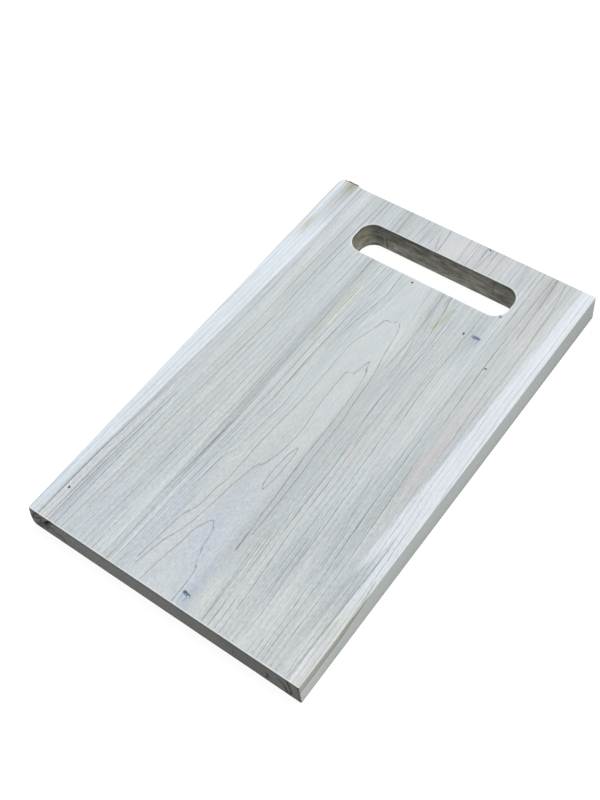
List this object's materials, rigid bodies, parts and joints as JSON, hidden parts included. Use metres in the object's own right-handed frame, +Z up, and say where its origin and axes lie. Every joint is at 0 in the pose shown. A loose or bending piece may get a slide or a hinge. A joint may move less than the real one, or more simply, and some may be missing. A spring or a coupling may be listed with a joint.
{
  "type": "cutting board",
  "caption": "Rectangular solid-wood cutting board with a rounded hand slot through it near one end and one rounded lower long edge.",
  "frame": {"origin": "centre of the flat underside, which rests on the worktop", "axes": "+Z up out of the cutting face, +Y along the grain towards the hand slot, +X across the grain to the right seen from the end without the slot"},
  "size_m": [0.25, 0.4, 0.026],
  "materials": {
    "wood": "bare planed pale wood, matt, cathedral grain with thin dark ring lines"
  },
  "bodies": {
    "root": {"board": "wood"}
  },
  "joints": []
}
